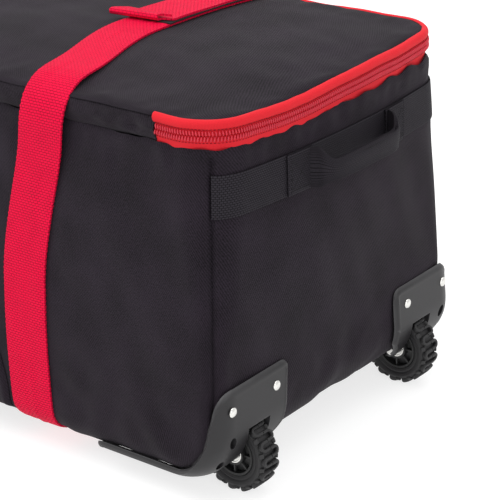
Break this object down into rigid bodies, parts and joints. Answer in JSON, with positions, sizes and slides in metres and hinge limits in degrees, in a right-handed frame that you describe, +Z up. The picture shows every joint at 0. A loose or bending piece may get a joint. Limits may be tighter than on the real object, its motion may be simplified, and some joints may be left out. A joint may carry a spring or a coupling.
{
  "type": "rolling duffel bag",
  "caption": "Boxy wheeled duffel with a zipped lid, red lashing straps, webbing haul handles and moulded corner guards.",
  "frame": {"origin": "on the floor under the middle of the bag's bounding box", "axes": "+X towards the wheel end, +Y towards the zip's long side (the lid hinges on the -Y side), +Z up"},
  "size_m": [0.837, 0.3824, 0.3746],
  "materials": {
    "black_fabric": "matt woven polyester twill",
    "red_webbing": "ribbed polypropylene webbing",
    "red_zip_tape": "woven zip tape",
    "red_zip_coil": "nylon coil",
    "black_webbing": "coarse ribbed webbing",
    "grey_plastic": "satin injection moulding",
    "board_plastic": "matt sheet",
    "tyre_rubber": "moulded rubber",
    "bright_steel": "bright",
    "black_zip_metal": "black enamel"
  },
  "bodies": {
    "root": {"base_board": "board_plastic", "bottom_panel": "black_fabric", "corner_guard_far": "grey_plastic", "corner_guard_near": "grey_plastic", "far_side_panel": "black_fabric", "guard_rivet_far_1": "bright_steel", "guard_rivet_far_2": "bright_steel", "guard_rivet_near_1": "bright_steel", "guard_rivet_near_2": "bright_steel", "hinge_gusset_lower": "black_fabric", "near_side_panel": "black_fabric", "pocket_zip_tape": "red_zip_tape", "side_pocket": "black_fabric", "strap_a_body": "red_webbing", "strap_b_body": "red_webbing", "tow_end_band": "black_webbing", "tow_end_handle_patch_far": "black_webbing", "tow_end_handle_patch_near": "black_webbing", "tow_end_panel": "black_fabric", "tow_foot_far": "grey_plastic", "tow_foot_near": "grey_plastic", "wheel_axle_far": "bright_steel", "wheel_axle_near": "bright_steel", "wheel_end_band": "black_webbing", "wheel_end_handle_patch_far": "black_webbing", "wheel_end_handle_patch_near": "black_webbing", "wheel_end_panel": "black_fabric", "wheel_housing_far": "grey_plastic", "wheel_housing_near": "grey_plastic", "zip_coil_lower": "red_zip_coil", "zip_tape_lower": "red_zip_tape"},
    "lid": {"lid_panel": "black_fabric", "hinge_gusset_upper": "black_fabric", "zip_tape_upper": "red_zip_tape", "zip_coil_upper": "red_zip_coil", "strap_a_lid": "red_webbing", "strap_b_lid": "red_webbing"},
    "strap_flap_a": {"strap_a_flap": "red_webbing"},
    "strap_flap_b": {"strap_b_flap": "red_webbing"},
    "slider_1": {"zip_slider_1": "black_zip_metal"},
    "slider_2": {"zip_slider_2": "black_zip_metal"},
    "pull_1": {"zip_pull_1": "black_zip_metal"},
    "pull_2": {"zip_pull_2": "black_zip_metal"},
    "wheel_end_handle": {"wheel_end_handle_loop": "black_webbing"},
    "tow_end_handle": {"tow_end_handle_loop": "black_webbing"},
    "wheel_near": {"wheel_tyre_near": "tyre_rubber", "wheel_hub_near": "grey_plastic", "wheel_bearing_near_inner": "bright_steel", "wheel_bearing_near_outer": "bright_steel"},
    "wheel_far": {"wheel_tyre_far": "tyre_rubber", "wheel_hub_far": "grey_plastic", "wheel_bearing_far_inner": "bright_steel", "wheel_bearing_far_outer": "bright_steel"},
    "pocket_slider": {"pocket_zip_slider": "black_zip_metal"}
  },
  "joints": [
    {"name": "lid_hinge", "type": "hinge", "parent": "root", "child": "lid", "pos_m": [0, -0.1755, 0.34665], "axis": [1, 0, 0], "range_deg": [0, 115]},
    {"name": "strap_flap_a_fold", "type": "hinge", "parent": "lid", "child": "strap_flap_a", "pos_m": [0.166, 0.15, 0.36674], "axis": [-1, 0, 0], "range_deg": [0, 150]},
    {"name": "strap_flap_b_fold", "type": "hinge", "parent": "lid", "child": "strap_flap_b", "pos_m": [-0.166, 0.15, 0.36674], "axis": [-1, 0, 0], "range_deg": [0, 150]},
    {"name": "slider_1_slide", "type": "slide", "parent": "root", "child": "slider_1", "axis": [1, 0, 0], "range_m": [0, 0.31]},
    {"name": "slider_2_slide", "type": "slide", "parent": "root", "child": "slider_2", "axis": [-1, 0, 0], "range_m": [0, 0.31]},
    {"name": "pull_1_swing", "type": "hinge", "parent": "slider_1", "child": "pull_1", "pos_m": [0.012, 0.1828, 0.3505], "axis": [1, 0, 0], "range_deg": [0, 160]},
    {"name": "pull_2_swing", "type": "hinge", "parent": "slider_2", "child": "pull_2", "pos_m": [-0.012, 0.1828, 0.3505], "axis": [1, 0, 0], "range_deg": [0, 160]},
    {"name": "wheel_end_handle_swing", "type": "hinge", "parent": "root", "child": "wheel_end_handle", "pos_m": [0.384, 0, 0.2915], "axis": [0, 1, 0], "range_deg": [-45, 45]},
    {"name": "tow_end_handle_swing", "type": "hinge", "parent": "root", "child": "tow_end_handle", "pos_m": [-0.384, 0, 0.2915], "axis": [0, 1, 0], "range_deg": [-45, 45]},
    {"name": "wheel_near_spin", "type": "hinge", "parent": "root", "child": "wheel_near", "pos_m": [0.362, -0.13, 0.0375], "axis": [0, 1, 0], "continuous": true},
    {"name": "wheel_far_spin", "type": "hinge", "parent": "root", "child": "wheel_far", "pos_m": [0.362, 0.13, 0.0375], "axis": [0, 1, 0], "continuous": true},
    {"name": "pocket_slider_slide", "type": "slide", "parent": "root", "child": "pocket_slider", "axis": [-1, 0, 0], "range_m": [0, 0.15]}
  ]
}
